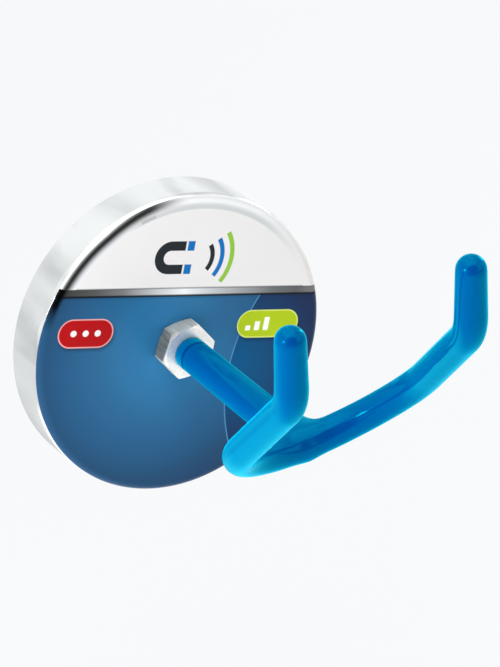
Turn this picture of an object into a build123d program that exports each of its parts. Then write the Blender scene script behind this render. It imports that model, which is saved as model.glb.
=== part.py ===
from build123d import *
from math import cos, pi, radians, sin, tan
import os

# Magnetic holder: a chromed pot magnet, a lock nut and a dip-coated steel hook with a fork.
# All lengths are in millimetres and all angles in degrees.
#
# Every piece is drawn with the magnet lying face up: X goes across the fork, Y is up along the
# wall and Z comes out of the wall, from the magnet's holding plane. The last step turns the
# whole part to hang on a wall: the wall is then at +Y, the front looks along -Y and +Z is up.

# Steel cup, deep drawn: a front plate with a side wall, open at the back
cup_diameter = 80.0
cup_height = 13.0
cup_wall = 2.0
cup_plate = 2.0
cup_edge_radius = 2.2
cup_rim_break = 0.3

# Ferrite ring, and the resin on both sides of it
magnet_recess = 0.4
outer_resin_width = 4.0
inner_resin_width = 2.0
resin_recess = 0.7
potting_clearance = 0.02

# Pole bush: a soft steel core with a neck that is pressed through the cup's plate
core_diameter = 20.0
neck_diameter = 11.4
neck_height_over_label = 0.01
bush_floor = 1.5
neck_clearance = 0.02

# Printed label: glued to the cup's face and pressed down over its rounded edge
label_thickness = 0.12
label_glue = 0.02
label_wrap_angle = 55.0
label_neck_margin = 0.3

# M8 thread, nut and stem
thread_diameter = 8.0
thread_clearance = 0.05
thread_tip_gap = 0.5
thread_tip_chamfer = 0.6
thread_runout = 0.5
nut_across_flats = 13.0
nut_height = 5.0
nut_chamfer_angle = 30.0
nut_seat_gap = 0.02
nut_slack = 0.2

# Steel rod of the stem and of the fork
rod_diameter = 7.0
stem_beyond_nut = 57.1
bow_radius = 21.3
bow_half_angle = 31.2
shoulder_radius = 28.5
arm_toe_in = 1.7
arm_rise = 42.1
arm_length = 30.6
bend_radius = 15.2
prong_rise = 78.1
prong_length = 13.6

# Fillet weld between the stem's end and the middle of the bow
weld_length = 6.8
weld_leg = 3.6
weld_thickness = 0.6
weld_gap = 0.04
stem_end_cut = 1.2

# Soft PVC skin, dip moulded over stem and fork: it ran down towards the joint while it was wet
coat_at_collar = 0.25
coat_at_joint = 1.1
coat_on_fork = 0.5
coat_at_tip = 0.25
coat_fit = 0.02
collar_length = 3.2
groove_width = 0.35
groove_depth = 0.35
web_length = 11.5
web_half_width = 10.0
web_waist_share = 0.28

# Radii and heights that follow from the sizes above
cup_radius = cup_diameter / 2
cup_bore_radius = cup_radius - cup_wall
plate_inside = cup_height - cup_plate
magnet_outer_radius = cup_bore_radius - outer_resin_width
core_radius = core_diameter / 2
magnet_inner_radius = core_radius + inner_resin_width
neck_radius = neck_diameter / 2
thread_radius = thread_diameter / 2
rod_radius = rod_diameter / 2
neck_top = cup_height + label_glue + label_thickness + neck_height_over_label
nut_back = neck_top + nut_seat_gap
nut_front = nut_back + nut_height
coat_start = nut_front + nut_slack
bow_reach = nut_front + stem_beyond_nut
collar_radius = max(thread_radius, rod_radius) + coat_at_collar
joint_radius = rod_radius + coat_at_joint
fork_coat_radius = rod_radius + coat_on_fork
tip_coat_radius = rod_radius + coat_at_tip


def at_height(height):
    """A plane parallel to the wall, that far out from it."""
    return Plane(origin=(0, 0, height))


def turned(points):
    """A solid of revolution about the stem's axis, from (radius, height) corners."""
    outline = Polyline(*[(r, 0, z) for r, z in points], close=True)
    return revolve(make_face(outline), axis=Axis.Z)


def ring(outer, inner, back, front):
    """A plain ring between two heights."""
    return turned([(inner, back), (outer, back), (outer, front), (inner, front)])


def make_steel_cup():
    """Front plate and wall in one: round outer edge, broken rim, centre hole for the bush's neck."""
    hole = neck_radius + neck_clearance
    shell = turned([
        (hole, plate_inside), (cup_bore_radius, plate_inside), (cup_bore_radius, 0),
        (cup_radius, 0), (cup_radius, cup_height), (hole, cup_height),
    ])
    circles = shell.edges().filter_by(GeomType.CIRCLE)
    outer_edge = [e for e in circles if e.radius > cup_bore_radius and e.center().Z > plate_inside]
    shell = fillet(outer_edge, cup_edge_radius)
    rim = [e for e in shell.edges().filter_by(GeomType.CIRCLE) if abs(e.center().Z) < cup_rim_break]
    return chamfer(rim, cup_rim_break)


def make_ring_magnet():
    """Ferrite ring, a little behind the holding plane so that the steel touches the wall first."""
    front = plate_inside - potting_clearance
    return ring(magnet_outer_radius, magnet_inner_radius, magnet_recess, front)


def make_resin_ring(outer, inner):
    """Hardened resin between two round walls, with a small clearance to each."""
    front = plate_inside - potting_clearance
    return ring(outer - potting_clearance, inner + potting_clearance, resin_recess, front)


def make_pole_bush():
    """Core that carries the field to the wall, neck through the plate, blind threaded hole."""
    bore = thread_radius + thread_clearance
    shoulder = plate_inside - potting_clearance
    return turned([
        (0, 0), (core_radius, 0), (core_radius, shoulder), (neck_radius, shoulder),
        (neck_radius, neck_top), (bore, neck_top), (bore, bush_floor), (0, bush_floor),
    ])


def over_cup_edge(height, angle):
    """Point at a height over the cup's skin, where its rounded edge has turned by an angle from the face."""
    reach = cup_edge_radius + height
    centre = cup_radius - cup_edge_radius
    return Vector(centre + reach * sin(radians(angle)), 0, cup_height - cup_edge_radius + reach * cos(radians(angle)))


def make_face_label():
    """Thin printed disc: flat on the face, bent over the rounded edge, with a hole for the bush's neck."""
    hole = neck_radius + label_neck_margin
    bottom = label_glue
    top = label_glue + label_thickness
    angles = [0, label_wrap_angle / 2, label_wrap_angle]
    under = ThreePointArc(*[over_cup_edge(bottom, angle) for angle in angles])
    over = ThreePointArc(*[over_cup_edge(top, angle) for angle in angles])
    hole_bottom = Vector(hole, 0, cup_height + bottom)
    hole_top = Vector(hole, 0, cup_height + top)
    outline = [
        Line(hole_bottom, under @ 0), under, Line(under @ 1, over @ 1),
        over, Line(over @ 0, hole_top), Line(hole_top, hole_bottom),
    ]
    return revolve(make_face(outline), axis=Axis.Z)


def make_lock_nut():
    """Hexagon with both ends chamfered to a circle, and a plain bore at the thread's size."""
    hexagon = RegularPolygon(nut_across_flats / 2, 6, major_radius=False)
    body = extrude(at_height(nut_back) * hexagon, nut_height)
    flat = nut_across_flats / 2
    corner = flat / cos(pi / 6)
    drop = (corner - flat) * tan(radians(nut_chamfer_angle))
    body = body & turned([
        (0, nut_back), (flat, nut_back), (corner, nut_back + drop),
        (corner, nut_front - drop), (flat, nut_front), (0, nut_front),
    ])
    return body - ring(thread_radius + thread_clearance, 0, nut_back, nut_front)


def fork_line():
    """Centre line of the right half: bow and shoulder in one slanted plane, then arm, bend and prong."""
    rise = radians(arm_rise)
    slant = Plane(origin=(0, 0, bow_reach), x_dir=(1, 0, 0), z_dir=(0, -cos(rise), sin(rise)))
    flat_bow = JernArc((0, 0), (1, 0), bow_radius, bow_half_angle)
    flat_shoulder = JernArc(flat_bow @ 1, flat_bow % 1, shoulder_radius, 90 + arm_toe_in - bow_half_angle)
    bow = slant.location * flat_bow
    shoulder = slant.location * flat_shoulder
    arm_direction = shoulder % 1
    prong_direction = Vector(0, sin(radians(prong_rise)), cos(radians(prong_rise)))
    run = bend_radius * tan(radians(arm_direction.get_angle(prong_direction)) / 2)
    arm = Line(shoulder @ 1, shoulder @ 1 + arm_direction * arm_length)
    corner = arm @ 1 + arm_direction * run
    prong = Line(corner + prong_direction * run, corner + prong_direction * (run + prong_length))
    bend = TangentArc(arm @ 1, prong @ 0, tangent=arm_direction)
    return [bow, shoulder, arm, bend, prong]


def mirrored(shape):
    """The same shape on the other side of the stem."""
    return mirror(shape, Plane.YZ)


def tube(edges, radius):
    """A round bar of one radius along joined edges."""
    path = Wire(edges)
    section = Plane(origin=path @ 0, z_dir=path % 0) * Circle(radius)
    return sweep(section, path=path)


def both_sides(half):
    """A right half and its mirror image, joined at the stem."""
    return half + mirrored(half)


def make_fork_bar(radius):
    """Bow, arms and prongs as one round bar with ball ends."""
    line = fork_line()
    tip = line[-1] @ 1
    return both_sides(tube(line, radius) + Pos(*tip) * Sphere(radius))


def make_stem_bar(grow):
    """Threaded end, runout and plain shank; grow widens the plain shank and the thread alike."""
    thread = thread_radius + grow
    shank = rod_radius + grow
    tip = bush_floor + thread_tip_gap
    thread_end = nut_front + thread_runout
    shank_start = thread_end + abs(thread_radius - rod_radius)
    end = bow_reach - stem_end_cut
    return turned([
        (0, tip), (thread - thread_tip_chamfer, tip), (thread, tip + thread_tip_chamfer),
        (thread, thread_end), (shank, shank_start), (shank, end), (0, end),
    ])


def make_weld_body(grow):
    """Weld metal before the two bars are cut out of it: round on the stem, oval on the bow."""
    small = rod_radius + weld_thickness / 2 + grow
    wide = rod_radius + weld_leg + grow
    thick = rod_radius + weld_thickness + grow
    start = at_height(bow_reach - weld_length - grow) * Circle(small)
    end = at_height(bow_reach + grow) * Ellipse(wide, thick)
    return loft([start, end])


def stem_coat_radius(height):
    """Outside of the skin on the stem, which widens evenly from the collar to the joint."""
    along = (height - coat_start) / (bow_reach - coat_start)
    return collar_radius + (joint_radius - collar_radius) * along


def make_joint_web():
    """Skin that bridges the corners between stem and bow: round on the stem, wide on the bow."""
    start = bow_reach - web_length
    middle = bow_reach - web_length / 2
    waist = joint_radius + (web_half_width - joint_radius) * web_waist_share
    return loft([
        at_height(start) * Circle(stem_coat_radius(start) - coat_fit),
        at_height(middle) * Ellipse(waist, stem_coat_radius(middle) - coat_fit),
        at_height(bow_reach) * Ellipse(web_half_width, fork_coat_radius - coat_fit),
    ])


def make_coat_body():
    """Outside of the PVC skin, as if it were solid."""
    line = fork_line()
    prong = line[-1]
    foot = Plane(origin=prong @ 0, z_dir=prong % 0)
    head = Plane(origin=prong @ 1, z_dir=prong % 1)
    taper = loft([foot * Circle(fork_coat_radius), head * Circle(tip_coat_radius)])
    half = tube(line[:-1], fork_coat_radius) + taper + head.location * Sphere(tip_coat_radius)
    stem = turned([
        (0, coat_start), (collar_radius, coat_start), (joint_radius, bow_reach), (0, bow_reach),
    ])
    knuckle = at_height(bow_reach).location * Sphere(joint_radius)
    return both_sides(half) + stem + knuckle + make_joint_web()


def make_hook_stem():
    """The stud, coped where it meets the bow."""
    return make_stem_bar(0) - make_fork_bar(rod_radius + weld_gap)


def make_weld_bead():
    """Weld metal left between stem and bow."""
    bead = make_weld_body(0) - make_fork_bar(rod_radius + weld_gap)
    return bead - ring(rod_radius + weld_gap, 0, 0, bow_reach + rod_radius)


def make_hook_coating():
    """The skin: its outside, less the steel inside it and the cut groove behind the collar."""
    skin = make_coat_body()
    skin = skin - make_stem_bar(coat_fit)
    skin = skin - make_fork_bar(rod_radius + coat_fit)
    skin = skin - make_weld_body(coat_fit)
    groove_back = coat_start + collar_length
    groove_front = groove_back + groove_width
    groove_inner = collar_radius - groove_depth
    return skin - ring(joint_radius, groove_inner, groove_back, groove_front)


parts = {
    "steel_cup": make_steel_cup(),
    "ring_magnet": make_ring_magnet(),
    "outer_resin_ring": make_resin_ring(cup_bore_radius, magnet_outer_radius),
    "inner_resin_ring": make_resin_ring(magnet_inner_radius, core_radius),
    "pole_bush": make_pole_bush(),
    "face_label": make_face_label(),
    "lock_nut": make_lock_nut(),
    "hook_stem": make_hook_stem(),
    "fork_rod": make_fork_bar(rod_radius),
    "weld_bead": make_weld_bead(),
    "hook_coating": make_hook_coating(),
}

os.makedirs("parts", exist_ok=True)
for name, part in parts.items():
    export_step(Rot(90, 0, 0) * part, f"parts/{name}.step")
    print(name, len(part.solids()), round(part.volume, 1))
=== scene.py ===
# %% [markdown]
# # Dressing a magnetic holder
#
# The real object is a pot magnet with a fork screwed into its middle. A chromed steel cup holds a ferrite
# ring, a printed foil covers its face, and a thin nut locks the stud. Stud and fork were welded, then dipped
# together in soft blue PVC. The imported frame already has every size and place, so each cell below takes
# one piece, says what its surface is on the real thing, and models that surface in the same place.

import bpy
from math import cos, pi, radians, sin, tan
from mathutils import Euler, Matrix, Vector


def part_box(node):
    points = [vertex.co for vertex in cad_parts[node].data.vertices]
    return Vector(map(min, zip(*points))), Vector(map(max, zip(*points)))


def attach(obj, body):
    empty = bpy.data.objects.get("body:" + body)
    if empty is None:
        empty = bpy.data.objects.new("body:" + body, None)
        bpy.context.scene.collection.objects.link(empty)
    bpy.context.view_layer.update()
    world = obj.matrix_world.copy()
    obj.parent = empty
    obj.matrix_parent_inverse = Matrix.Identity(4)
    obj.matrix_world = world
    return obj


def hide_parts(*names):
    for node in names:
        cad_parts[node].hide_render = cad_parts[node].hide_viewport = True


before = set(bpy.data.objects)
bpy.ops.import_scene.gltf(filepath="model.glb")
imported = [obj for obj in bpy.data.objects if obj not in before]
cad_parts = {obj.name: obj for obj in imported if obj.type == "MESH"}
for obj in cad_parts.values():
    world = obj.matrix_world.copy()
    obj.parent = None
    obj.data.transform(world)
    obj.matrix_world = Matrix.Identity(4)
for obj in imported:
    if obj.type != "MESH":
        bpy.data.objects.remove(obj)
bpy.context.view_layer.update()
MM = 0.001
WELD = 0.000001


def millimetres(node):
    """Lowest and highest corner of a CAD node, in millimetres."""
    low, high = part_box(node)
    return low / MM, high / MM


print("nodes:", sorted(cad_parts))

# %% [markdown]
# ## The camera
#
# The photograph was taken with a long lens, from the upper left of the holder. A camera is three things
# here: where it looks from, as an azimuth and an elevation, how far off it stands, and how much it is
# rolled. Turning these into a rotation is safer than aiming at a target, because a target can't give the
# roll. The focal length follows from how many pixels of the picture one millimetre covers at that distance.

# %% Place the camera
AZIMUTH = radians(-24.93)
ELEVATION = radians(29.66)
ROLL = radians(-8.52)
DISTANCE = 1200.0
PIXELS_PER_MM = 3.977
IMAGE_HEIGHT = 667
ORIGIN_LEFT_OF_CENTRE = 94.6
ORIGIN_OVER_CENTRE = 8.8
SENSOR = 36.0

camera_turn = Euler((pi / 2 - ELEVATION, 0, AZIMUTH)).to_matrix() @ Matrix.Rotation(ROLL, 3, "Z")
right, up, back = (camera_turn.col[i] for i in range(3))
camera_data = bpy.data.cameras.new("camera")
camera_data.sensor_width = SENSOR
camera_data.lens = SENSOR * PIXELS_PER_MM * DISTANCE / IMAGE_HEIGHT
camera = bpy.data.objects.new("camera", camera_data)
bpy.context.scene.collection.objects.link(camera)
camera.rotation_euler = camera_turn.to_euler()
camera.location = MM * (
    right * ORIGIN_LEFT_OF_CENTRE / PIXELS_PER_MM - up * ORIGIN_OVER_CENTRE / PIXELS_PER_MM + back * DISTANCE
)
bpy.context.scene.camera = camera
bpy.context.scene.view_settings.view_transform = "Standard"
print("lens in mm:", round(camera_data.lens, 1))

# %% [markdown]
# ## Colours and nodes
#
# Colours are picked in sRGB, as a screen shows them, while shader sockets take linear light. One function
# turns the first into the second. A second function adds any shader node at all, with what is set on it and
# what feeds it, so that a material reads as a short list of steps.

# %% Helpers for materials
def linear(hex_colour):
    """An sRGB hex colour as linear light, with full alpha."""
    shares = [int(hex_colour[i:i + 2], 16) / 255 for i in (1, 3, 5)]
    return (*[s / 12.92 if s <= 0.04045 else ((s + 0.055) / 1.055) ** 2.4 for s in shares], 1.0)


def add(tree, kind, values=None):
    """Add any shader node, with its settings and links.

    Keys in small letters are the node's own settings, and other keys are its sockets. A socket that is given
    as a value is linked, and "stops" fills a colour ramp.
    """
    node = tree.nodes.new("ShaderNode" + kind)
    for key, value in (values or {}).items():
        if key == "stops":
            ramp = node.color_ramp.elements
            while len(ramp) < len(value):
                ramp.new(1.0)
            for element, (position, colour) in zip(ramp, value):
                element.position = position
                element.color = linear(colour)
        elif isinstance(key, str) and key.islower():
            setattr(node, key, value)
        elif isinstance(value, bpy.types.NodeSocket):
            tree.links.new(value, node.inputs[key])
        else:
            is_colour = isinstance(value, str) and value.startswith("#")
            node.inputs[key].default_value = linear(value) if is_colour else value
    return node


def new_material(name, colour, **sockets):
    """A Principled material: its plain values sit on the shader's own sockets."""
    material = bpy.data.materials.new(name)
    material.use_nodes = True
    shader = material.node_tree.nodes["Principled BSDF"]
    shader.inputs["Base Color"].default_value = linear(colour)
    for key, value in sockets.items():
        shader.inputs[key.replace("_", " ")].default_value = value
    return material, material.node_tree, shader


def bumped(tree, shader, height, depth):
    """Feed a height between 0 and 1 into the shader's normal, that many millimetres deep."""
    bump = add(tree, "Bump", {"Distance": depth * MM, "Height": height})
    tree.links.new(bump.outputs["Normal"], shader.inputs["Normal"])


print("white in linear light:", linear("#F7F9FC"))

# %% [markdown]
# ## Chrome plate
#
# The cup is deep-drawn mild steel under bright chromium. Chromium is a slightly blue mirror, so the metal
# keeps the default IOR and takes its look from what it reflects. Two things keep it from looking like a ball
# bearing: the drawing left shallow waves a few millimetres long, and handling left faint smears that spread
# the reflection a little. The waves are bump, because they are a tenth of a millimetre deep at most. The
# plate is thinner and a little greyer in their hollows, so the same waves also shift its colour.

# %% Material: bright chromium on drawn steel
WAVE_LENGTH = 11.0
WAVE_DEPTH = 0.12
ALONG_THE_DRAW = (1.0, 0.3, 1.0)
SMEAR_LENGTH = 14.0
CLEAN_ROUGHNESS = 0.08
SMEARED_ROUGHNESS = 0.2

chrome, tree, shader = new_material("chromium_plate", "#C6C9C9", Metallic=1.0)
where = add(tree, "TexCoord").outputs["Object"]
stretched = add(tree, "Mapping", {"Scale": ALONG_THE_DRAW, "Vector": where}).outputs[0]
waves = add(tree, "TexNoise", {"Scale": 1 / (WAVE_LENGTH * MM), "Detail": 2.0, "Vector": stretched})
bumped(tree, shader, waves.outputs["Fac"], WAVE_DEPTH)
smears = add(tree, "TexNoise", {
    "Scale": 1 / (SMEAR_LENGTH * MM), "Detail": 6.0, "Roughness": 0.7, "Vector": where,
})
spread = add(tree, "MapRange", {
    "From Min": 0.35, "From Max": 0.7, "To Min": CLEAN_ROUGHNESS, "To Max": SMEARED_ROUGHNESS,
    "Value": smears.outputs["Fac"],
})
tree.links.new(spread.outputs["Result"], shader.inputs["Roughness"])
hollows = [(0.36, "#BABDBE"), (0.5, "#CBCECE")]
greyed = add(tree, "ValToRGB", {"stops": hollows, "Fac": waves.outputs["Fac"]})
tree.links.new(greyed.outputs["Color"], shader.inputs["Base Color"])
print(chrome.name, "nodes:", len(tree.nodes))

# %% [markdown]
# ## The print's own plane
#
# The face is covered by one self-adhesive vinyl foil: metallised silver, overprinted in white and blues, and
# laminated. The print is drawn in the foil's own plane, so the shader first turns the object's coordinates
# until U runs along the print and V across it, in millimetres. Every figure is then a distance, negative
# inside and positive outside, so its edge stays crisp at any size. These helpers make such distances.

# %% Helpers for the print
PRINT_TURN = radians(20.3)
PRINT_EDGE = 0.06
WHITE_INK = "#E8E5E2"

foil, tree, shader = new_material("printed_vinyl_foil", WHITE_INK, Roughness=0.28, Specular_IOR_Level=0.1)
where = add(tree, "TexCoord").outputs["Object"]
in_print = add(tree, "Mapping", {"Rotation": (0, -PRINT_TURN, 0), "Scale": (1 / MM,) * 3, "Vector": where})
parts = add(tree, "SeparateXYZ", {"Vector": in_print.outputs[0]})
along, across = parts.outputs["X"], parts.outputs["Z"]
flat = add(tree, "CombineXYZ", {"X": along, "Y": across}).outputs[0]


def outside_circle(centre, radius):
    """Distance outside a circle in the print."""
    reach = add(tree, "VectorMath", {"operation": "DISTANCE", 0: flat, 1: (*centre, 0)}).outputs["Value"]
    return add(tree, "Math", {"operation": "SUBTRACT", 0: reach, 1: radius}).outputs[0]


def outside_tab(centre, size, corner):
    """Distance outside a rounded rectangle in the print."""
    half = (size[0] / 2 - corner, size[1] / 2 - corner, 0)
    offset = add(tree, "VectorMath", {"operation": "SUBTRACT", 0: flat, 1: (*centre, 0)}).outputs[0]
    folded = add(tree, "VectorMath", {"operation": "ABSOLUTE", 0: offset}).outputs[0]
    past = add(tree, "VectorMath", {"operation": "SUBTRACT", 0: folded, 1: half}).outputs[0]
    clipped = add(tree, "VectorMath", {"operation": "MAXIMUM", 0: past, 1: (0, 0, 0)}).outputs[0]
    length = add(tree, "VectorMath", {"operation": "LENGTH", 0: clipped}).outputs["Value"]
    return add(tree, "Math", {"operation": "SUBTRACT", 0: length, 1: corner}).outputs[0]


def outside_both(first, second):
    """Distance outside what two figures share."""
    return add(tree, "Math", {"operation": "MAXIMUM", 0: first, 1: second}).outputs[0]


def band_along(distance, width):
    """A line of some width that follows a figure's edge."""
    from_edge = add(tree, "Math", {"operation": "ABSOLUTE", 0: distance}).outputs[0]
    return add(tree, "Math", {"operation": "SUBTRACT", 0: from_edge, 1: width / 2}).outputs[0]


def printed(ink, colour, distance, edge=PRINT_EDGE, cover=1.0):
    """Lay a colour over the ink inside a figure, with an edge as soft as wanted."""
    mask = add(tree, "MapRange", {
        "From Min": -edge, "From Max": edge, "To Min": cover, "To Max": 0.0, "Value": distance,
    }).outputs[0]
    return add(tree, "Mix", {"data_type": "RGBA", 0: mask, 6: ink, 7: colour}).outputs[2]


def ramp_over(value, lowest, highest, stops):
    """A colour ramp whose positions are given in the value's own unit."""
    share = add(tree, "MapRange", {"From Min": lowest, "From Max": highest, "Value": value}).outputs[0]
    scaled = [((p - lowest) / (highest - lowest), colour) for p, colour in stops]
    return add(tree, "ValToRGB", {"stops": scaled, "Fac": share}).outputs["Color"]


print("the print is turned by", round(PRINT_TURN, 3), "radians")

# %% [markdown]
# ## Fields and stripe
#
# Three fields make the ground of the print: white above, blue below, and a darker blue that swings in from
# the right. Both blues are brighter near the middle, as if lit there. A silver stripe with dark hairlines
# parts white from blue. It is metallised foil that was left bare, and its tone, running from dark to bright
# and back, is a painted reflection of bare metal set into its colour. A soft dark edge under the stripe
# makes it stand off the blue.

# %% Print: fields and stripe
STRIPE_LOW = 13.3
STRIPE_HIGH = 15.3
STRIPE_REACH = 38.0
STRIPE_SHADOW = 1.1
HAIRLINE = 0.35
BLUE_MIDDLE = (-4.0, -0.5)
BLUE_REACH = 44.0
NAVY_MIDDLE = (16.0, -6.0)
NAVY_REACH = 36.0
WAVE_CENTRE = (62.0, -8.0)
WAVE_RADIUS = 46.5

blue = ramp_over(outside_circle(BLUE_MIDDLE, 0), 0.0, BLUE_REACH, [
    (3, "#307DAF"), (9, "#2E76A7"), (14, "#2C709D"), (19, "#2A6690"), (24, "#265E88"), (30, "#22547C"),
    (35, "#1F496C"), (43, "#1D3A5C"),
])
navy = ramp_over(outside_circle(NAVY_MIDDLE, 0), 0.0, NAVY_REACH, [
    (0, "#005384"), (9, "#084A76"), (17, "#123C64"), (24, "#192F54"), (32, "#1B2A4B"),
])
wave = outside_circle(WAVE_CENTRE, WAVE_RADIUS)
ink = printed(blue, navy, wave)
ink = printed(ink, "#5FA6CF", band_along(wave, HAIRLINE), cover=0.55)

# The stripe's run from dark to bright and back is a painted reflection.
silver_with_painted_reflection = ramp_over(along, -STRIPE_REACH, STRIPE_REACH, [
    (-35, "#393A37"), (-27, "#545453"), (-19, "#7A7B7B"), (-11, "#BDBEBD"), (-2, "#F2F3F2"),
    (5, "#CDCFCF"), (14, "#A3A5A5"), (24, "#6E7071"), (31, "#5F6061"), (36, "#7A7A79"),
])
under_stripe = add(tree, "Math", {"operation": "SUBTRACT", 0: STRIPE_LOW, 1: across}).outputs[0]
over_stripe = add(tree, "Math", {"operation": "SUBTRACT", 0: STRIPE_HIGH, 1: across}).outputs[0]
ink = printed(ink, "#0E1822", under_stripe, edge=STRIPE_SHADOW, cover=0.55)
ink = printed(ink, silver_with_painted_reflection, under_stripe)
ink = printed(ink, "#0B1015", band_along(under_stripe, HAIRLINE * 1.6), edge=0.12, cover=0.92)
ink = printed(ink, WHITE_INK, over_stripe)
ink = printed(ink, "#4A4C4C", band_along(over_stripe, HAIRLINE), edge=0.15, cover=0.7)
print("stripe:", round(STRIPE_HIGH - STRIPE_LOW, 2), "mm wide, nodes so far:", len(tree.nodes))

# %% [markdown]
# ## A horseshoe sign
#
# The print carries plain signs and no words. The white field has a horseshoe magnet with blue pole tips, and
# the arcs of its field in front of them. The horseshoe is a ring whose right half runs on as two straight
# legs. Each arc is part of a circle round the poles, cut off by a cone that opens to the right.

# %% Print: horseshoe and field
SIGN_CENTRE = (-7.5, 23.4)
SIGN_BEND = 3.1
SIGN_BAND = 2.5
SIGN_LEG = 6.4
POLE = 2.2
FAR_UP = 100
CHARCOAL = "#20262B"
SIGN_BLUE = "#0A6DB6"
FIELD_ARCS = {5.6: CHARCOAL, 8.4: SIGN_BLUE, 11.2: "#8FBF3C"}
FIELD_ARC_WIDTH = 1.25
FIELD_CONE = 0.72

# Right of the bend's centre, X counts as nothing, and so the ring turns into legs.
sign_left = add(tree, "VectorMath", {"operation": "SUBTRACT", 0: flat, 1: (*SIGN_CENTRE, 0)}).outputs[0]
bent = add(tree, "VectorMath", {"operation": "MINIMUM", 0: sign_left, 1: (0, FAR_UP, 0)}).outputs[0]
bend_reach = add(tree, "VectorMath", {"operation": "LENGTH", 0: bent}).outputs["Value"]
from_middle = add(tree, "Math", {"operation": "SUBTRACT", 0: bend_reach, 1: SIGN_BEND}).outputs[0]
sign_parts = add(tree, "SeparateXYZ", {"Vector": sign_left}).outputs
past_leg = add(tree, "Math", {"operation": "SUBTRACT", 0: sign_parts["X"], 1: SIGN_LEG}).outputs[0]
horseshoe = outside_both(band_along(from_middle, SIGN_BAND), past_leg)
before_pole = add(tree, "Math", {"operation": "SUBTRACT", 0: SIGN_LEG - POLE, 1: sign_parts["X"]}).outputs[0]
ink = printed(ink, CHARCOAL, horseshoe)
ink = printed(ink, SIGN_BLUE, outside_both(horseshoe, before_pole))
ink = printed(ink, WHITE_INK, outside_both(horseshoe, band_along(before_pole, HAIRLINE * 1.5)))

height_in_sign = add(tree, "Math", {"operation": "ABSOLUTE", 0: sign_parts["Y"]}).outputs[0]
cone = add(tree, "Math", {
    "operation": "MULTIPLY_ADD", 0: sign_parts["X"], 1: -FIELD_CONE, 2: SIGN_LEG * FIELD_CONE,
}).outputs[0]
beside_cone = add(tree, "Math", {"operation": "ADD", 0: height_in_sign, 1: cone}).outputs[0]
poles_middle = (SIGN_CENTRE[0] + SIGN_LEG, SIGN_CENTRE[1])
for radius, colour in FIELD_ARCS.items():
    field_arc = band_along(outside_circle(poles_middle, radius), FIELD_ARC_WIDTH)
    ink = printed(ink, colour, outside_both(field_arc, beside_cone))
print("field arcs:", len(FIELD_ARCS), "nodes so far:", len(tree.nodes))

# %% [markdown]
# ## Two tabs
#
# On the blue lie a red tab with three dots and a green tab with three rising bars. Each has a pale keyline
# and a soft printed shadow, which is the same figure once more, darker, shifted and with a wide edge. A tab
# is given by its middle, its size, its colour and the colour of its keyline.

# %% Print: tabs
TABS = {
    "red": ((-27.6, 3.6), (15.2, 7.4), "#B2060B", "#E9A09C"),
    "green": ((24.4, 5.2), (17.4, 7.2), "#AFC61B", "#D3E170"),
}
SHADOW_SHIFT = (0.35, -0.55)
SHADOW_EDGE = 0.9
DOT_SPACING = 3.4
DOT_RADIUS = 0.85
BAR_FOOT = (-3, -1.75)
BAR_SPACING = 2.6
BAR_WIDTH = 1.5
BAR_HEIGHT = 2.4
BAR_RISE = 1.1
BAR_CORNER = 0.2

for centre, size, colour, keyline in TABS.values():
    corner = size[1] / 2
    shifted = (centre[0] + SHADOW_SHIFT[0], centre[1] + SHADOW_SHIFT[1])
    ink = printed(ink, "#06121F", outside_tab(shifted, size, corner), edge=SHADOW_EDGE, cover=0.8)
    tab = outside_tab(centre, size, corner)
    ink = printed(ink, colour, tab)
    ink = printed(ink, keyline, band_along(tab, HAIRLINE))
red_centre = TABS["red"][0]
green_centre = TABS["green"][0]
for step in (-1, 0, 1):
    dot = (red_centre[0] + step * DOT_SPACING, red_centre[1])
    ink = printed(ink, "#F4EDEC", outside_circle(dot, DOT_RADIUS))
    bar_height = BAR_HEIGHT + step * BAR_RISE
    bar_foot = (green_centre[0] + BAR_FOOT[0] + step * BAR_SPACING, green_centre[1] + BAR_FOOT[1])
    bar = (bar_foot[0], bar_foot[1] + bar_height / 2)
    ink = printed(ink, "#F6F8EC", outside_tab(bar, (BAR_WIDTH, bar_height), BAR_CORNER))
print("tabs:", len(TABS), "nodes so far:", len(tree.nodes))

# %% [markdown]
# ## The foil's border
#
# Where the foil bends over the cup's edge the white is left out, and the bare metallised border shows. Its
# tones are a painted reflection of the rounded edge, set into the foil's colour: pale grey with a painted
# highlight band at the top, fading out to the right, and a nearly black painted reflection at the upper
# left. Two ramps over the radius give the border at the top and at the left, and the direction round the
# disc blends between them.
# Near the top the dark line drifts a little outward. Directions are in degrees from the print's right, and
# each pair of them below says where a change starts and ends.

# %% Print: border, tones
BORDER = 36.0
FOIL_RADIUS = 39.8
DRIFT_FROM_TO = (110.0, 132.0)
DRIFT = 0.8

middle_out = outside_circle((0, 0), 0)
turn = add(tree, "Math", {"operation": "ARCTAN2", 0: across, 1: along}).outputs[0]
degrees_round = add(tree, "Math", {"operation": "DEGREES", 0: turn}).outputs[0]
# Painted reflection at the top: a grey band, a white painted highlight band, a grey line at the edge.
top_painted_reflection = ramp_over(middle_out, BORDER, FOIL_RADIUS, [
    (36.1, "#E8E9E8"), (36.6, "#CBCDCB"), (37.3, "#CED0CF"), (37.8, "#DCDEDC"), (38.3, "#F5F6F6"),
    (38.8, "#F3F4F5"), (39.3, "#DFE0E2"), (39.7, "#EDEEEF"),
])
drift = add(tree, "MapRange", {
    "From Min": DRIFT_FROM_TO[0], "From Max": DRIFT_FROM_TO[1], "To Min": DRIFT, "To Max": 0.0,
    "Value": degrees_round,
}).outputs[0]
drifted = add(tree, "Math", {"operation": "SUBTRACT", 0: middle_out, 1: drift}).outputs[0]
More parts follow.
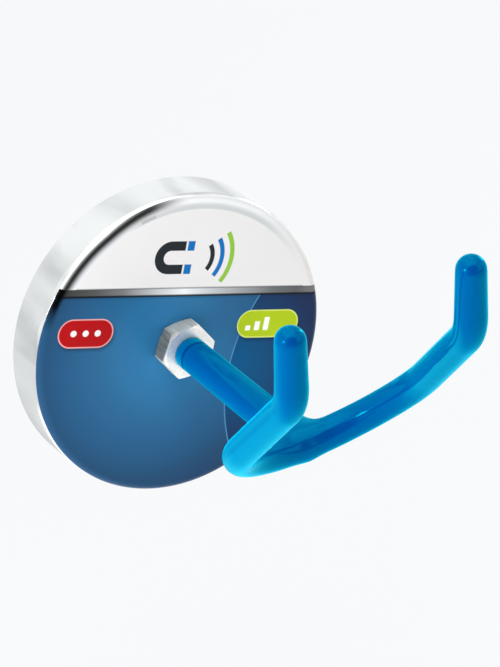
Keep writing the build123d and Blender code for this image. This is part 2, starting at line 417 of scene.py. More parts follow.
# Painted reflection at the upper left: a nearly black band with a grey inner edge.
left_painted_reflection = ramp_over(drifted, BORDER, FOIL_RADIUS, [
    (36.2, "#E8E8E8"), (36.8, "#D8D8D8"), (37.3, "#B2B2B2"), (37.7, "#868686"), (38.1, "#424242"),
    (38.4, "#262626"), (38.8, "#303030"), (39.2, "#8A8A8A"), (39.4, "#E4E4E4"),
])
print("border:", round(FOIL_RADIUS - BORDER, 2), "mm wide, nodes so far:", len(tree.nodes))

# %% [markdown]
# ## Joining the border
#
# Just past the top, both painted reflections lie side by side: the grey band runs on for some degrees
# inside the dark line, so the darker of the two is kept there. One small grey patch of painted reflection
# lies at that place. Below the white field the border is printed over in blue, apart from its left end,
# which gets painted shade along the edge.

# %% Print: border, joined
GREY_RUNS_ON = (126.0, 116.0)
TOP_TO_LEFT = (96.0, 114.0)
RIGHT_TO_TOP = (32.0, 68.0)
LEFT_END = (174.0, 164.0)
STRAIGHT_UP = 90.0
GREY_PATCH_AT = 115.0
GREY_PATCH_DEGREES = 6.0
GREY_PATCH_RADIUS = BORDER + 1.0
GREY_PATCH_WIDTH = 0.5

still_top = add(tree, "MapRange", {
    "From Min": GREY_RUNS_ON[0], "From Max": GREY_RUNS_ON[1], "Value": degrees_round,
}).outputs[0]
left_painted_reflection = add(tree, "Mix", {
    "data_type": "RGBA", "blend_type": "DARKEN", 0: still_top, 6: left_painted_reflection, 7: top_painted_reflection,
}).outputs[2]
to_left = add(tree, "MapRange", {
    "interpolation_type": "SMOOTHSTEP", "From Min": TOP_TO_LEFT[0], "From Max": TOP_TO_LEFT[1],
    "Value": degrees_round,
}).outputs[0]
border = add(tree, "Mix", {"data_type": "RGBA", 0: to_left, 6: top_painted_reflection, 7: left_painted_reflection}).outputs[2]
from_right = add(tree, "MapRange", {
    "interpolation_type": "SMOOTHSTEP", "From Min": RIGHT_TO_TOP[0], "From Max": RIGHT_TO_TOP[1],
    "Value": degrees_round,
}).outputs[0]
border = add(tree, "Mix", {"data_type": "RGBA", 0: from_right, 6: WHITE_INK, 7: border}).outputs[2]
# A small grey patch of painted reflection in the border.
past_grey_patch = add(tree, "Math", {"operation": "SUBTRACT", 0: degrees_round, 1: GREY_PATCH_AT}).outputs[0]
grey_patch_ring = band_along(outside_circle((0, 0), GREY_PATCH_RADIUS), GREY_PATCH_WIDTH)
painted_grey_patch = outside_both(grey_patch_ring, band_along(past_grey_patch, GREY_PATCH_DEGREES))
border = printed(border, "#7E7F7E", painted_grey_patch, edge=0.45, cover=0.6)
inside_border = add(tree, "Math", {"operation": "SUBTRACT", 0: BORDER, 1: middle_out}).outputs[0]
ink = printed(ink, border, outside_both(inside_border, over_stripe))

# Painted shade along the foil's edge at its left end, under the stripe, continuing the dark reflection.
left_end = add(tree, "MapRange", {
    "From Min": LEFT_END[0], "From Max": LEFT_END[1], "Value": degrees_round,
}).outputs[0]
edge_shade = ramp_over(middle_out, BORDER, FOIL_RADIUS, [
    (37.4, "#FFFFFF"), (38.5, "#0A0A0A"), (39.6, "#3A3A3A"),
])
on_left = add(tree, "Math", {"operation": "GREATER_THAN", 0: degrees_round, 1: STRAIGHT_UP}).outputs[0]
under = add(tree, "Math", {"operation": "GREATER_THAN", 0: over_stripe, 1: 0.0}).outputs[0]
share = add(tree, "Math", {"operation": "MULTIPLY", 0: left_end, 1: on_left}).outputs[0]
share = add(tree, "Math", {"operation": "MULTIPLY", 0: share, 1: under}).outputs[0]
ink = add(tree, "Mix", {
    "data_type": "RGBA", "blend_type": "MULTIPLY", 0: share, 6: ink, 7: edge_shade,
}).outputs[2]
tree.links.new(ink, shader.inputs["Base Color"])
print("the smear is", round(radians(GREY_PATCH_DEGREES) * GREY_PATCH_RADIUS, 1), "mm long")

# %% [markdown]
# ## The vinyl's surface
#
# The clear laminate over the print isn't quite flat. It follows the grain of the vinyl below, which is only
# a few thousandths of a millimetre deep, so it is bump as well. Its gloss is one plain roughness.

# %% Print: grain
VINYL_GRAIN = 0.6
VINYL_DEPTH = 0.004
grain = add(tree, "TexNoise", {"Scale": 1 / (VINYL_GRAIN * MM), "Detail": 2.0, "Vector": where})
bumped(tree, shader, grain.outputs["Fac"], VINYL_DEPTH)
print(foil.name, "nodes:", len(tree.nodes))

# %% [markdown]
# ## Plastisol skin
#
# The fork was heated, dipped in liquid PVC plastisol and cured. That gives a soft, thick, even skin with a
# high gloss. The skin is dyed right through: light that comes back out of it has lost all its red, so even
# its gloss looks cyan. A coat with almost no gloss of its own and a cyan tint does the same to all below it.
# Seen along its surface the soft skin lets some light through and glows, and a sheen stands in for that.

# %% Material: dip-moulded PVC
DYE = "#00F4F0"
ORANGE_PEEL = 5.0
PEEL_DEPTH = 0.06

pvc, tree, shader = new_material(
    "dipped_pvc", "#00499C", Roughness=0.09, IOR=1.6, Specular_Tint=linear("#B0FFFF"),
    Coat_Weight=1.0, Coat_IOR=1.02, Coat_Roughness=0.1, Coat_Tint=linear(DYE),
    Sheen_Weight=1.0, Sheen_Roughness=0.4, Sheen_Tint=linear("#00CCFF"),
)
where = add(tree, "TexCoord").outputs["Object"]
peel = add(tree, "TexNoise", {"Scale": 1 / (ORANGE_PEEL * MM), "Detail": 1.5, "Vector": where})
bumped(tree, shader, peel.outputs["Fac"], PEEL_DEPTH)
print(pvc.name, "dye:", DYE)

# %% [markdown]
# ## Zinc on the nut
#
# The nut is cold-formed and zinc plated. Zinc is paler and softer than chrome. Its front face was turned and
# mirrors much of the light. Its flats were only pressed: they are duller and greyer, keep fine marks of the
# die along the nut's axis, and scatter most of the light, so they count as only partly metallic here. The
# height over the wall tells the shader which of the two it is on. A painted dark reflection darkens one
# flat, and ends at that flat's two corners. It is a figure with edges in millimetres, as the figures of the
# print are.

# %% Material: zinc plate, tones
TURNED_FROM = -17.5
TURNED_AT = -18.05
DIE_MARK = 0.5
MARK_STRETCH = (1.0, 0.1, 1.0)
PAINTED_REFLECTION_CENTRE = (-5.6, -15.2, 3.2)
ALONG_FLAT = (0.5, 0, 0.866)
PAINTED_REFLECTION_REACH = 5.0
PAINTED_REFLECTION_WIDTH = 7.4

zinc, tree, shader = new_material("zinc_plate", "#C4C7C7")
where = add(tree, "TexCoord").outputs["Object"]
drawn = add(tree, "Mapping", {"Scale": MARK_STRETCH, "Vector": where}).outputs[0]
marks = add(tree, "TexNoise", {"Scale": 1 / (DIE_MARK * MM), "Detail": 3.0, "Vector": drawn}).outputs["Fac"]
tones = []
# The third pair of tones is a painted dark reflection on one flat.
for dark, bright in (("#BDBEB5", "#DADBD1"), ("#E7E5E0", "#F5F3EE"), ("#2A3032", "#505658")):
    marked = add(tree, "ValToRGB", {"stops": [(0.35, dark), (0.62, bright)], "Fac": marks})
    tones.append(marked.outputs["Color"])
pressed, lathed, painted_dark_reflection = tones
in_mm = add(tree, "Mapping", {"Scale": (1 / MM,) * 3, "Vector": where}).outputs[0]
along_flat = add(tree, "VectorMath", {
    "operation": "DOT_PRODUCT", 0: in_mm, 1: ALONG_FLAT,
}).outputs["Value"]
# Painted dark reflection: a band across one flat, cut off round a centre on it.
from_painted_reflection = add(tree, "VectorMath", {"operation": "DISTANCE", 0: in_mm, 1: PAINTED_REFLECTION_CENTRE}).outputs["Value"]
past_painted_reflection = add(tree, "Math", {"operation": "SUBTRACT", 0: from_painted_reflection, 1: PAINTED_REFLECTION_REACH}).outputs[0]
painted_reflection_patch = outside_both(band_along(along_flat, PAINTED_REFLECTION_WIDTH), past_painted_reflection)
pressed = printed(pressed, painted_dark_reflection, painted_reflection_patch, edge=0.3, cover=0.82)
depth = add(tree, "SeparateXYZ", {"Vector": where}).outputs["Y"]
on_front = add(tree, "MapRange", {
    "From Min": TURNED_FROM * MM, "From Max": TURNED_AT * MM, "Value": depth,
}).outputs[0]
tone = add(tree, "Mix", {"data_type": "RGBA", 0: on_front, 6: pressed, 7: lathed}).outputs[2]
tree.links.new(tone, shader.inputs["Base Color"])
print(zinc.name, "tones:", len(tones))

# %% [markdown]
# ## The zinc's gloss
#
# New zinc is bright, but handling and damp air cloud it in patches. So the roughness wanders a little from
# place to place, over a few millimetres, and the die's marks are pressed in as very shallow bump.

# %% Material: zinc plate, gloss
PRESSED_METALLIC = 0.3
TURNED_METALLIC = 0.6
MARK_DEPTH = 0.015
CLOUD = 2.5
CLEAR_ROUGHNESS = 0.24
CLOUDY_ROUGHNESS = 0.4

metal = add(tree, "MapRange", {
    "To Min": PRESSED_METALLIC, "To Max": TURNED_METALLIC, "Value": on_front,
}).outputs[0]
tree.links.new(metal, shader.inputs["Metallic"])
bumped(tree, shader, marks, MARK_DEPTH)
clouds = add(tree, "TexNoise", {"Scale": 1 / (CLOUD * MM), "Detail": 4.0, "Vector": where})
spread = add(tree, "MapRange", {
    "To Min": CLEAR_ROUGHNESS, "To Max": CLOUDY_ROUGHNESS, "Value": clouds.outputs["Fac"],
})
tree.links.new(spread.outputs["Result"], shader.inputs["Roughness"])
print(zinc.name, "nodes:", len(tree.nodes))

# %% [markdown]
# ## What shows from behind
#
# The pole bush is turned, and the tool left fine rings on its end face. Ferrite is a dark ceramic whose face
# was ground flat, so it has straight scratches and a sandy speckle. The potting resin between them is black
# epoxy that set with a smooth skin and a few closed bubbles. The steel under the blue skin is bare bar with
# its mill scale. Rings and scratches are drawn coarser than the real ones, so that they show at all.

# %% Materials: turned steel, drawn steel, ferrite, epoxy
# A wave texture repeats every 0.31 of its unit, so this unit puts the rings 1.9 mm apart.
RING_UNIT = 6.0
MILL_SCALE = 0.8
SPECKLE = 0.7
SCRATCH = 0.3
ALONG_SCRATCH = (0.04, 1.0, 1.0)
BUBBLE = 3.0

turned_steel, tree, shader = new_material("turned_steel", "#B5B8BA", Metallic=1.0, Roughness=0.28)
where = add(tree, "TexCoord").outputs["Object"]
rings = add(tree, "TexWave", {
    "wave_type": "RINGS", "rings_direction": "Y", "Scale": 1 / (RING_UNIT * MM), "Distortion": 0.4,
    "Vector": where,
})
bumped(tree, shader, rings.outputs["Fac"], 0.01)

bare_steel, tree, shader = new_material("drawn_steel", "#83868A", Metallic=1.0, Roughness=0.42)
where = add(tree, "TexCoord").outputs["Object"]
mill_scale = add(tree, "TexNoise", {"Scale": 1 / (MILL_SCALE * MM), "Detail": 5.0, "Vector": where})
bumped(tree, shader, mill_scale.outputs["Fac"], 0.02)

ferrite, tree, shader = new_material("ground_ferrite", "#39393C", Roughness=0.55, IOR=1.9)
where = add(tree, "TexCoord").outputs["Object"]
speckle = add(tree, "TexNoise", {
    "Scale": 1 / (SPECKLE * MM), "Detail": 5.0, "Roughness": 0.7, "Vector": where,
})
grit = [(0.35, "#2C2C2F"), (0.7, "#4B4B4E")]
tone = add(tree, "ValToRGB", {"stops": grit, "Fac": speckle.outputs["Fac"]})
tree.links.new(tone.outputs["Color"], shader.inputs["Base Color"])
ground = add(tree, "Mapping", {"Scale": ALONG_SCRATCH, "Vector": where}).outputs[0]
scratches = add(tree, "TexNoise", {"Scale": 1 / (SCRATCH * MM), "Detail": 3.0, "Vector": ground})
bumped(tree, shader, scratches.outputs["Fac"], 0.02)

epoxy, tree, shader = new_material("black_epoxy", "#191A1C", Roughness=0.2, IOR=1.55)
where = add(tree, "TexCoord").outputs["Object"]
bubbles = add(tree, "TexVoronoi", {"Scale": 1 / (BUBBLE * MM), "Vector": where})
pits = add(tree, "MapRange", {"From Max": 0.25, "Value": bubbles.outputs["Distance"]})
bumped(tree, shader, pits.outputs["Result"], 0.05)

for node in ("hook_stem", "fork_rod", "weld_bead"):
    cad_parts[node].data.materials.clear()
    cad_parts[node].data.materials.append(bare_steel)
print("materials:", [m.name for m in (chrome, foil, pvc, zinc, turned_steel, bare_steel, ferrite, epoxy)])

# %% [markdown]
# ## Turning a piece
#
# Cup, foil, magnet, resin and bush are all turned shapes. By hand, one would draw half the section as a
# chain of edges and use Spin. That is what the helper does: a plane is merged to a single point, the point
# is extruded along the section, and the chain is spun round the stem's axis. A section is a list of
# (radius, height out of the wall) corners in millimetres, so it can be compared with a drawing.

# %% Helpers for modelling
TURN_STEPS = 192


def pick(piece):
    """Select one object only, and make it the active one."""
    bpy.ops.object.select_all(action="DESELECT")
    piece.select_set(True)
    bpy.context.view_layer.objects.active = piece


def in_section(radius, height):
    """A corner of a section, as a point beside the stem's axis."""
    return Vector((radius, -height, 0)) * MM


def arc(centre, radius, start, end, count):
    """Corners of a round edge; angles turn from straight out of the wall to sideways."""
    turns = [radians(start + (end - start) * i / count) for i in range(count + 1)]
    return [(centre[0] + radius * sin(t), centre[1] + radius * cos(t)) for t in turns]


def turned(name, section):
    """Spin a closed section round the stem's axis."""
    bpy.ops.object.select_all(action="DESELECT")
    bpy.ops.mesh.primitive_plane_add(size=MM, location=in_section(*section[0]))
    piece = bpy.context.object
    piece.name = name
    bpy.ops.object.transform_apply(location=True, rotation=True, scale=True)
    bpy.ops.object.mode_set(mode="EDIT")
    bpy.ops.mesh.merge(type="CENTER")
    for here, there in zip(section, section[1:] + section[:1]):
        step = in_section(*there) - in_section(*here)
        bpy.ops.mesh.extrude_region_move(TRANSFORM_OT_translate={"value": step})
    bpy.ops.mesh.select_all(action="SELECT")
    bpy.ops.mesh.remove_doubles(threshold=WELD)
    bpy.ops.mesh.spin(steps=TURN_STEPS, angle=2 * pi, center=(0, 0, 0), axis=(0, 1, 0))
    bpy.ops.mesh.select_all(action="SELECT")
    bpy.ops.mesh.remove_doubles(threshold=WELD)
    bpy.ops.mesh.normals_make_consistent(inside=False)
    bpy.ops.object.mode_set(mode="OBJECT")
    return piece


def soften(piece, width, segments=3, sharper_than=25):
    """Round off every edge that is sharper than an angle."""
    pick(piece)
    bevel = piece.modifiers.new("edges", "BEVEL")
    bevel.width = width * MM
    bevel.segments = segments
    bevel.limit_method = "ANGLE"
    bevel.angle_limit = radians(sharper_than)
    bpy.ops.object.modifier_apply(modifier=bevel.name)


def finish_piece(piece, material, body, node):
    """Give a piece its material and its body, and hide the CAD node that it stands for."""
    pick(piece)
    piece.data.materials.clear()
    piece.data.materials.append(material)
    bpy.ops.object.shade_smooth_by_angle(angle=radians(30))
    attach(piece, body)
    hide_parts(node)
    print(piece.name, "faces:", len(piece.data.polygons))


print("a turned piece has", TURN_STEPS, "steps of", 360 / TURN_STEPS, "degrees")

# %% [markdown]
# ## The cup
#
# A press drew the cup from one disc of sheet, so its front edge is a true radius, and the rim that touches
# the wall was only trimmed and deburred. The radius is drawn as an arc in the section, because a mirror
# shows every facet of a coarse bevel.

# %% Piece: steel cup
CUP_WALL = 2.0
CUP_PLATE = 2.0
CUP_EDGE_RADIUS = 2.2
CUP_EDGE_FACETS = 12
RIM_BREAK = 0.3
NECK_RADIUS = 5.7
NECK_CLEARANCE = 0.02

cup_low, cup_high = millimetres("steel_cup")
cup_radius, cup_height = cup_high.x, -cup_low.y
bore_radius = cup_radius - CUP_WALL
plate_inside = cup_height - CUP_PLATE
neck_hole = NECK_RADIUS + NECK_CLEARANCE
edge_centre = (cup_radius - CUP_EDGE_RADIUS, cup_height - CUP_EDGE_RADIUS)
cup = turned("cup", [
    (neck_hole, plate_inside), (bore_radius, plate_inside), (bore_radius, RIM_BREAK),
    (bore_radius + RIM_BREAK, 0), (cup_radius - RIM_BREAK, 0), (cup_radius, RIM_BREAK),
    *arc(edge_centre, CUP_EDGE_RADIUS, 90, 0, CUP_EDGE_FACETS), (neck_hole, cup_height),
])
finish_piece(cup, chrome, "magnet_base", "steel_cup")

# %% [markdown]
# ## The printed foil
#
# The foil is a little wider than the flat of the face, so the press that applied it bent its margin over the
# rounded edge. Its section has the same arc as the cup's, one glue line further out, and a real thickness,
# which shows as a fine step where the foil stops and the chrome begins.

# %% Piece: face foil
FOIL_GLUE = 0.02
FOIL_THICKNESS = 0.12
FOIL_WRAP = 55
FOIL_FACETS = 9
FOIL_CUT = 0.03
NECK_MARGIN = 0.3

glued_radius = CUP_EDGE_RADIUS + FOIL_GLUE
glued_side = arc(edge_centre, glued_radius, 0, FOIL_WRAP, FOIL_FACETS)
printed_side = arc(edge_centre, glued_radius + FOIL_THICKNESS, FOIL_WRAP, 0, FOIL_FACETS)
foil_hole = NECK_RADIUS + NECK_MARGIN
face = turned("face_foil", [
    (foil_hole, glued_side[0][1]), *glued_side, *printed_side, (foil_hole, printed_side[-1][1]),
])
soften(face, FOIL_CUT, segments=2, sharper_than=60)
finish_piece(face, foil, "magnet_base", "face_label")

# %% [markdown]
# ## Inside the cup
#
# From behind one sees rings: the trimmed rim of the cup, resin, the ground ferrite ring, resin again and the
# steel bush in the middle. Ferrite is brittle, so its edges are broken before it is ground and magnetised.
# The ring is a turned section whose edges are bevelled.

# %% Piece: ring magnet
MAGNET_EDGE = 0.5

magnet_low, magnet_high = millimetres("ring_magnet")
bush_low, bush_high = millimetres("pole_bush")
magnet_radius, bush_radius = magnet_high.x, bush_high.x
magnet_hole = millimetres("inner_resin_ring")[1].x
magnet_back, magnet_front = -magnet_high.y, -magnet_low.y
magnet = turned("magnet_ring", [
    (magnet_hole, magnet_back), (magnet_radius, magnet_back),
    (magnet_radius, magnet_front), (magnet_hole, magnet_front),
])
soften(magnet, MAGNET_EDGE)
finish_piece(magnet, ferrite, "magnet_base", "ring_magnet")

# %% [markdown]
# ## Poured resin
#
# Resin fills the gaps on both sides of the magnet. It climbs the walls that it wets, so its free face is a
# shallow hollow: the section below follows a parabola between the two walls.

# %% Pieces: poured resin
RESIN_CLIMB = 0.35
RESIN_FACETS = 8


def resin_ring(name, node, inner):
    """Poured resin between two round walls, hollow at its free face."""
    low, high = millimetres(node)
    outer = high.x
    back, front = -high.y, -low.y
    shares = [i / RESIN_FACETS for i in range(RESIN_FACETS + 1)]
    free_face = [(inner + (outer - inner) * s, back - RESIN_CLIMB * (2 * s - 1) ** 2) for s in shares]
    return turned(name, [*free_face, (outer, front), (inner, front)])


for name, node, inner in (
    ("resin_outside", "outer_resin_ring", magnet_radius),
    ("resin_inside", "inner_resin_ring", bush_radius),
):
    finish_piece(resin_ring(name, node, inner), epoxy, "magnet_base", node)

# %% [markdown]
# ## The pole bush
#
# The bush is one turned piece of soft steel. Its wide foot leads the field to the wall, its narrow neck goes
# through the cup's plate, and its blind hole takes the hook's stud. So it is one turned section as well.

# %% Piece: pole bush
BUSH_BORE = 4.05
BUSH_FLOOR = 1.5
BUSH_EDGE = 0.25

neck_top = -bush_low.y
bush = turned("bush", [
    (0, 0), (bush_radius, 0), (bush_radius, magnet_front), (NECK_RADIUS, magnet_front),
    (NECK_RADIUS, neck_top), (BUSH_BORE, neck_top), (BUSH_BORE, BUSH_FLOOR), (0, BUSH_FLOOR),
])
soften(bush, BUSH_EDGE)
finish_piece(bush, turned_steel, "magnet_base", "pole_bush")

# %% [markdown]
# ## The lock nut
#
# A cold-formed hexagon is turned at both ends, so its flats end in arcs. The same happens here: a
# six-sided cylinder is cut to the shape that it shares with a turned barrel, and a plain bore is cut out
# of it. The barrel's ends lean back 30 degrees from the circle that touches the flats.

# %% Piece: lock nut
NUT_CHAMFER = radians(30)
NUT_BORE = 4.05
NUT_EDGE = 0.16
BARREL_SPARE = 0.3
LEAN_SPARE = 1.3
DRILL_SPARE = 1

nut_low, nut_high = millimetres("lock_nut")
nut_corner, nut_flat = nut_high.x, nut_high.z
nut_back, nut_front = -nut_high.y, -nut_low.y
bpy.ops.object.select_all(action="DESELECT")
bpy.ops.mesh.primitive_cylinder_add(
    vertices=6, radius=nut_corner * MM, depth=(nut_front - nut_back) * MM,
    location=in_section(0, (nut_front + nut_back) / 2), rotation=(pi / 2, pi / 6, 0),
)
nut = bpy.context.object
nut.name = "hexagon_nut"
bpy.ops.object.transform_apply(location=True, rotation=True, scale=True)
lean = (nut_corner - nut_flat) * tan(NUT_CHAMFER) * LEAN_SPARE
barrel_radius = nut_corner + BARREL_SPARE
barrel = turned("barrel", [
    (0, nut_back), (nut_flat, nut_back), (barrel_radius, nut_back + lean),
    (barrel_radius, nut_front - lean), (nut_flat, nut_front), (0, nut_front),
])
drill_back, drill_front = nut_back - DRILL_SPARE, nut_front + DRILL_SPARE
drill = turned("drill", [
    (0, drill_back), (NUT_BORE, drill_back), (NUT_BORE, drill_front), (0, drill_front),
])
for tool, operation in ((barrel, "INTERSECT"), (drill, "DIFFERENCE")):
    pick(nut)
    cut = nut.modifiers.new("cut", "BOOLEAN")
    cut.operation = operation
    cut.object = tool
    bpy.ops.object.modifier_apply(modifier=cut.name)
    bpy.data.objects.remove(tool)
soften(nut, NUT_EDGE, segments=2)
finish_piece(nut, zinc, "lock_nut", "lock_nut")

# %% [markdown]
# ## The dipped skin
#
# Dipping lays one seamless skin over stud, weld and fork, and runs the corners together. Modelling that as
# separate tubes would leave creases where they meet. So copies of the four CAD pieces of the hook are joined
# and remeshed with fine voxels into one closed surface. The copies are merged first, because a CAD mesh is
# loose triangles, and the remesh drops the layers that came with them: their normals would show as small
# scars.

# %% Piece: dipped skin, one surface
VOXEL = 0.45

copies = []
for node in ("hook_coating", "hook_stem", "fork_rod", "weld_bead"):
    copy = bpy.data.objects.new(node + "_copy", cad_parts[node].data.copy())
    bpy.context.scene.collection.objects.link(copy)
    pick(copy)
    bpy.ops.object.mode_set(mode="EDIT")
    bpy.ops.mesh.select_all(action="SELECT")
    bpy.ops.mesh.remove_doubles(threshold=WELD)
    bpy.ops.object.mode_set(mode="OBJECT")
    copies.append(copy)
for copy in copies:
    copy.select_set(True)
bpy.context.view_layer.objects.active = copies[0]
bpy.ops.object.join()
skin = bpy.context.object
skin.name = "dipped_skin"
skin.data.use_remesh_preserve_attributes = False
skin.data.remesh_voxel_size = VOXEL * MM
bpy.ops.object.voxel_remesh()
print("skin after the remesh:", len(skin.data.polygons))

# %% [markdown]
# ## Letting the skin flow
#
# Wet plastisol creeps before it sets, so it rounds every corner, and it gathers most in the corners of the
# joint. Rounds of smoothing do the same to the mesh: a few all over, and many round the joint, where a
# vertex group says how strongly. Smoothing also shrinks, so the joint is pushed back out afterwards.

# %% Piece: dipped skin, flow
JOINT = (0, -75.3, 0)
JOINT_REACH = 21.0
JOINT_FADE = 11.0
JOINT_ROUNDS = 140
FIRST_ROUNDS = 8
LAST_ROUNDS = 6
SWELL = 0.35

near_joint = skin.vertex_groups.new(name="near_joint")
for vertex in skin.data.vertices:
    inside = JOINT_REACH - (vertex.co / MM - Vector(JOINT)).length
    near_joint.add([vertex.index], max(0.0, min(1.0, inside / JOINT_FADE)), "REPLACE")


def flow(rounds, group=""):
    """Smooth the skin, all over or only as much as a vertex group says."""
    smooth = skin.modifiers.new("flow", "SMOOTH")
    smooth.factor = 0.5
    smooth.iterations = rounds
    smooth.vertex_group = group
    bpy.ops.object.modifier_apply(modifier=smooth.name)


def swell(amount, group=""):
    """Push the skin outward by some millimetres."""
    push = skin.modifiers.new("swell", "DISPLACE")
    push.direction = "NORMAL"
    push.mid_level = 0.0
    push.strength = amount * MM
    push.vertex_group = group
    bpy.ops.object.modifier_apply(modifier=push.name)


flow(FIRST_ROUNDS)
flow(JOINT_ROUNDS, "near_joint")
swell(SWELL, "near_joint")
flow(LAST_ROUNDS)
print("rounds near the joint:", FIRST_ROUNDS + JOINT_ROUNDS + LAST_ROUNDS)

# %% [markdown]
# ## Cutting the skin square
#
# Near the nut the skin was cut round with a blade, which left a narrow groove and a short collar behind it.
# A voxel surface is too soft for a blade's edge. So the skin is cut off square just in front of the groove,
# with the Bisect tool, and what lies behind the cut is thrown away.

# %% Piece: dipped skin, cut square
COLLAR_LENGTH = 3.2
GROOVE_WIDTH = 0.55
CUT_AHEAD = 0.9

collar_back = -millimetres("hook_coating")[1].y
groove_back = collar_back + COLLAR_LENGTH
groove_front = groove_back + GROOVE_WIDTH
cut_height = groove_front + CUT_AHEAD
pick(skin)
bpy.ops.object.mode_set(mode="EDIT")
bpy.ops.mesh.select_all(action="SELECT")
bpy.ops.mesh.bisect(
    plane_co=in_section(0, cut_height), plane_no=(0, 1, 0), clear_outer=True, threshold=WELD,
)
bpy.ops.object.mode_set(mode="OBJECT")
rim = [v.co for v in skin.data.vertices if v.select]
radius_now = sum(Vector((co.x, 0, co.z)).length for co in rim) / len(rim) / MM
print("cut edge:", len(rim), "corners, radius", round(radius_now, 3))

# %% [markdown]
# ## The collar and its cut groove
#
# The open edge is now extruded back towards the nut step by step, and each step is scaled to the radius that
# a drawing gives: over the groove's lip, down to its floor, up again, and round the collar's end. The last
# step is closed with one face.

# %% Piece: dipped skin, collar and groove
COLLAR_RADIUS = 4.25
COLLAR_ROUND = 0.4
COLLAR_FACETS = 4
GROOVE_DEPTH = 0.65
LIP = 0.12
LIP_SWELL = 0.02

lip_radius = COLLAR_RADIUS - LIP
floor_radius = COLLAR_RADIUS - GROOVE_DEPTH
round_end = arc((COLLAR_RADIUS - COLLAR_ROUND, COLLAR_ROUND), COLLAR_ROUND, 90, 0, COLLAR_FACETS)
profile = [
    (COLLAR_RADIUS + LIP_SWELL, groove_front + LIP),
    (lip_radius, groove_front), (floor_radius, groove_front),
    (floor_radius, groove_back), (lip_radius, groove_back), (COLLAR_RADIUS, groove_back - LIP),
    *[(radius, collar_back + 2 * COLLAR_ROUND - height) for radius, height in round_end],
]
height_now = cut_height
bpy.ops.object.mode_set(mode="EDIT")
for radius, height in profile:
    step = in_section(0, height) - in_section(0, height_now)
    bpy.ops.mesh.extrude_region_move(TRANSFORM_OT_translate={"value": step})
    share = radius / radius_now
    bpy.ops.transform.resize(value=(share, 1, share), center_override=in_section(0, height))
    height_now, radius_now = height, radius
bpy.ops.mesh.edge_face_add()
bpy.ops.mesh.select_all(action="SELECT")
bpy.ops.mesh.normals_make_consistent(inside=False)
bpy.ops.object.mode_set(mode="OBJECT")
finish_piece(skin, pvc, "hook", "hook_coating")

# %% [markdown]
# ## The floor
#
# The photograph shows the holder in a white light tent: pale from every side, with no hard shadow. The
# floor is its paper. It glows for the camera and for mirrors, and keeps the object's shadow in the part of
# it that is lit paper. Mirrors see more than the camera does: a bright pool where the lamps strike the
# paper, the holder's own dark shadow, and the paper's dim end outside the tent. Pool and shadow are each
# given by a middle in metres, two distances between which the light changes, and the light at these.

# %% Floor
BACKGROUND = "#F7F9FC"
FLOOR_LEVEL = -0.16
FLOOR_SIZE = 60
GLOW_SHARE = 0.9
LIGHT_POOL = (-0.11, 0.05)
POOL_FADE = (0.05, 0.18)
POOL_LIGHT = (2.4, 1.25)
OWN_SHADOW = (0.02, 0.25)
SHADOW_FADE = (0.04, 0.2)
SHADOW_LIGHT = 0.62
TENT_FRONT = (-0.85, -0.65)
LIGHT_OUTSIDE = 0.2

bpy.ops.object.select_all(action="DESELECT")
bpy.ops.mesh.primitive_plane_add(size=FLOOR_SIZE, location=(0, 0, FLOOR_LEVEL))
floor = bpy.context.object
floor.name = "floor"
paper, tree, shader = new_material("backdrop_paper", BACKGROUND, Roughness=0.9)
rays = add(tree, "LightPath").outputs
seen = add(tree, "Math", {
    "operation": "MAXIMUM", 0: rays["Is Camera Ray"], 1: rays["Is Glossy Ray"],
}).outputs[0]
part_seen = add(tree, "Math", {"operation": "MULTIPLY", 0: seen, 1: GLOW_SHARE}).outputs[0]
on_floor = add(tree, "TexCoord").outputs["Object"]
patches = []
for middle, fade, light in (
    (LIGHT_POOL, POOL_FADE, POOL_LIGHT),
    (OWN_SHADOW, SHADOW_FADE, (SHADOW_LIGHT, 1.0)),
):
    away = add(tree, "VectorMath", {"operation": "DISTANCE", 0: on_floor, 1: (*middle, 0)}).outputs["Value"]
    patch = add(tree, "MapRange", {
        "interpolation_type": "SMOOTHSTEP", "From Min": fade[0], "From Max": fade[1],
        "To Min": light[0], "To Max": light[1], "Value": away,
    })
    patches.append(patch.outputs[0])
paper_light = add(tree, "Math", {"operation": "MULTIPLY", 0: patches[0], 1: patches[1]}).outputs[0]
forward = add(tree, "SeparateXYZ", {"Vector": on_floor}).outputs["Y"]
inside_tent = add(tree, "MapRange", {
    "interpolation_type": "SMOOTHSTEP", "From Min": TENT_FRONT[0], "From Max": TENT_FRONT[1],
    "To Min": LIGHT_OUTSIDE, "To Max": 1.0, "Value": forward,
}).outputs[0]
mirrored = add(tree, "Math", {"operation": "MULTIPLY", 0: paper_light, 1: inside_tent}).outputs[0]
level = add(tree, "MapRange", {"To Min": 1.0, "To Max": mirrored, "Value": rays["Is Glossy Ray"]}).outputs[0]
glow = add(tree, "Emission", {"Color": "#F6F7F8", "Strength": level})
mix = add(tree, "MixShader", {0: part_seen, 1: shader.outputs[0], 2: glow.outputs[0]})
tree.links.new(mix.outputs[0], tree.nodes["Material Output"].inputs["Surface"])
floor.data.materials.append(paper)
print(paper.name, "nodes:", len(tree.nodes))

# %% [markdown]
# ## The tent
#
# The world is the tent's cloth. The camera sees it in the background's own colour, and it lights the object
# at a plain level. Mirrors see it as it is: with soft folds, with a brighter roof where a lamp stands behind
# the cloth, and with the dark opening in front that the camera looks through. Without that opening the
# gloss would be pale all over, and the deep blue inside the bow would be lost.

# %% World
TENT_LIGHT = 0.5
TENT_GLARE = 1.5
FOLDS = 2.2
CLOTH_LIGHT = (0.7, 1.0)
OPENING = (-0.25, -0.9, 0.35)
OPENING_FADE = (0.7, 0.84)
OPENING_LIGHT = 0.1
ROOF_FADE = (0.7, 0.78)
ROOF_LIGHT = 1.8

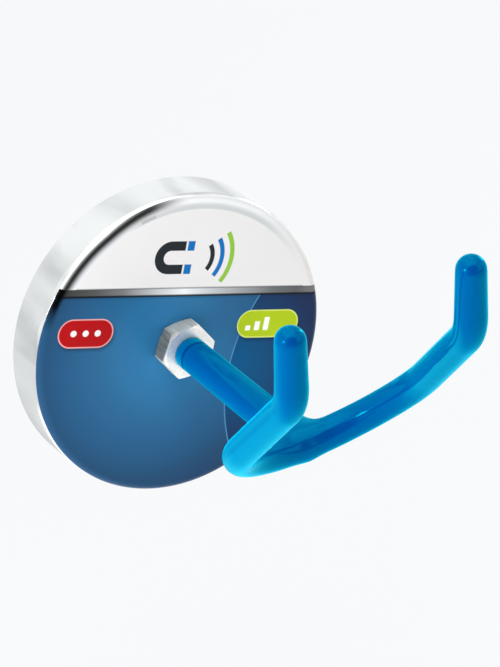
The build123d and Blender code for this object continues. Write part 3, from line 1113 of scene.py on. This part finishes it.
world = bpy.data.worlds.new("light_tent")
bpy.context.scene.world = world
world.use_nodes = True
tree = world.node_tree
rays = add(tree, "LightPath").outputs
tent = tree.nodes["Background"]
tent.inputs["Color"].default_value = linear("#FFFFFF")
tent.inputs["Strength"].default_value = TENT_LIGHT
toward = add(tree, "TexCoord").outputs["Generated"]
folds = add(tree, "TexNoise", {"Scale": FOLDS, "Detail": 2.0, "Vector": toward})
cloth = add(tree, "MapRange", {
    "From Min": 0.38, "From Max": 0.6, "To Min": CLOTH_LIGHT[0], "To Max": CLOTH_LIGHT[1],
    "Value": folds.outputs["Fac"],
}).outputs[0]
ahead = add(tree, "VectorMath", {"operation": "DOT_PRODUCT", 0: toward, 1: OPENING}).outputs["Value"]
opening = add(tree, "MapRange", {
    "interpolation_type": "SMOOTHSTEP", "From Min": OPENING_FADE[0], "From Max": OPENING_FADE[1],
    "To Min": TENT_GLARE, "To Max": OPENING_LIGHT * TENT_GLARE, "Value": ahead,
}).outputs[0]
height = add(tree, "SeparateXYZ", {"Vector": toward}).outputs["Z"]
roof = add(tree, "MapRange", {
    "interpolation_type": "SMOOTHSTEP", "From Min": ROOF_FADE[0], "From Max": ROOF_FADE[1],
    "To Min": 1.0, "To Max": ROOF_LIGHT, "Value": height,
}).outputs[0]
cloth = add(tree, "Math", {"operation": "MULTIPLY", 0: cloth, 1: opening}).outputs[0]
cloth = add(tree, "Math", {"operation": "MULTIPLY", 0: cloth, 1: roof}).outputs[0]
mirrored = add(tree, "Background", {"Color": "#FFFFFF", "Strength": cloth})
seen = add(tree, "Background", {"Color": BACKGROUND, "Strength": 1.0})
mix = add(tree, "MixShader", {0: rays["Is Glossy Ray"], 1: tent.outputs[0], 2: mirrored.outputs[0]})
mix = add(tree, "MixShader", {0: rays["Is Camera Ray"], 1: mix.outputs[0], 2: seen.outputs[0]})
tree.links.new(mix.outputs[0], tree.nodes["World Output"].inputs["Surface"])
print(world.name, "nodes:", len(tree.nodes))

# %% [markdown]
# ## Lamps
#
# Five large lamps light the holder. The tent's cloth spreads their light, so they are soft, and they don't
# show in the gloss, because the world already shows the cloth that they light. The one at the table stands
# for light that the paper throws back up. Two small boxes inside the tent do show, as the bright spots on
# the skin's bends and tips. Each lamp has a place and a size in metres, and a power in watts.

# %% Lamps
HOLDER = Vector((0, -0.05, 0))
LAMPS = {
    "key": ((-0.5, -0.9, 0.6), 0.4, 0.8),
    "top": ((-0.15, -0.35, 0.9), 0.6, 4.2),
    "left": ((-1.0, -0.2, 0.05), 0.6, 5.4),
    "table": ((-0.16, -0.02, -0.13), 0.4, 1.0),
    "right": ((0.7, 0.25, 0.6), 0.5, 3.0),
    "left box": ((-0.9, -0.3, 0.43), 0.22, 1.6),
    "right box": ((0.91, 0.38, 0.11), 0.22, 1.8),
}
SHOWN_IN_GLOSS = ("left box", "right box")

for name, (place, size, power) in LAMPS.items():
    light = bpy.data.lights.new(name, "AREA")
    light.size = size
    light.energy = power
    lamp = bpy.data.objects.new(name, light)
    bpy.context.scene.collection.objects.link(lamp)
    lamp.location = place
    lamp.visible_glossy = name in SHOWN_IN_GLOSS
    lamp.rotation_euler = (HOLDER - Vector(place)).to_track_quat("-Z", "Y").to_euler()
print("lamps:", len(LAMPS), "of", round(sum(lamp[2] for lamp in LAMPS.values()), 1), "W together")
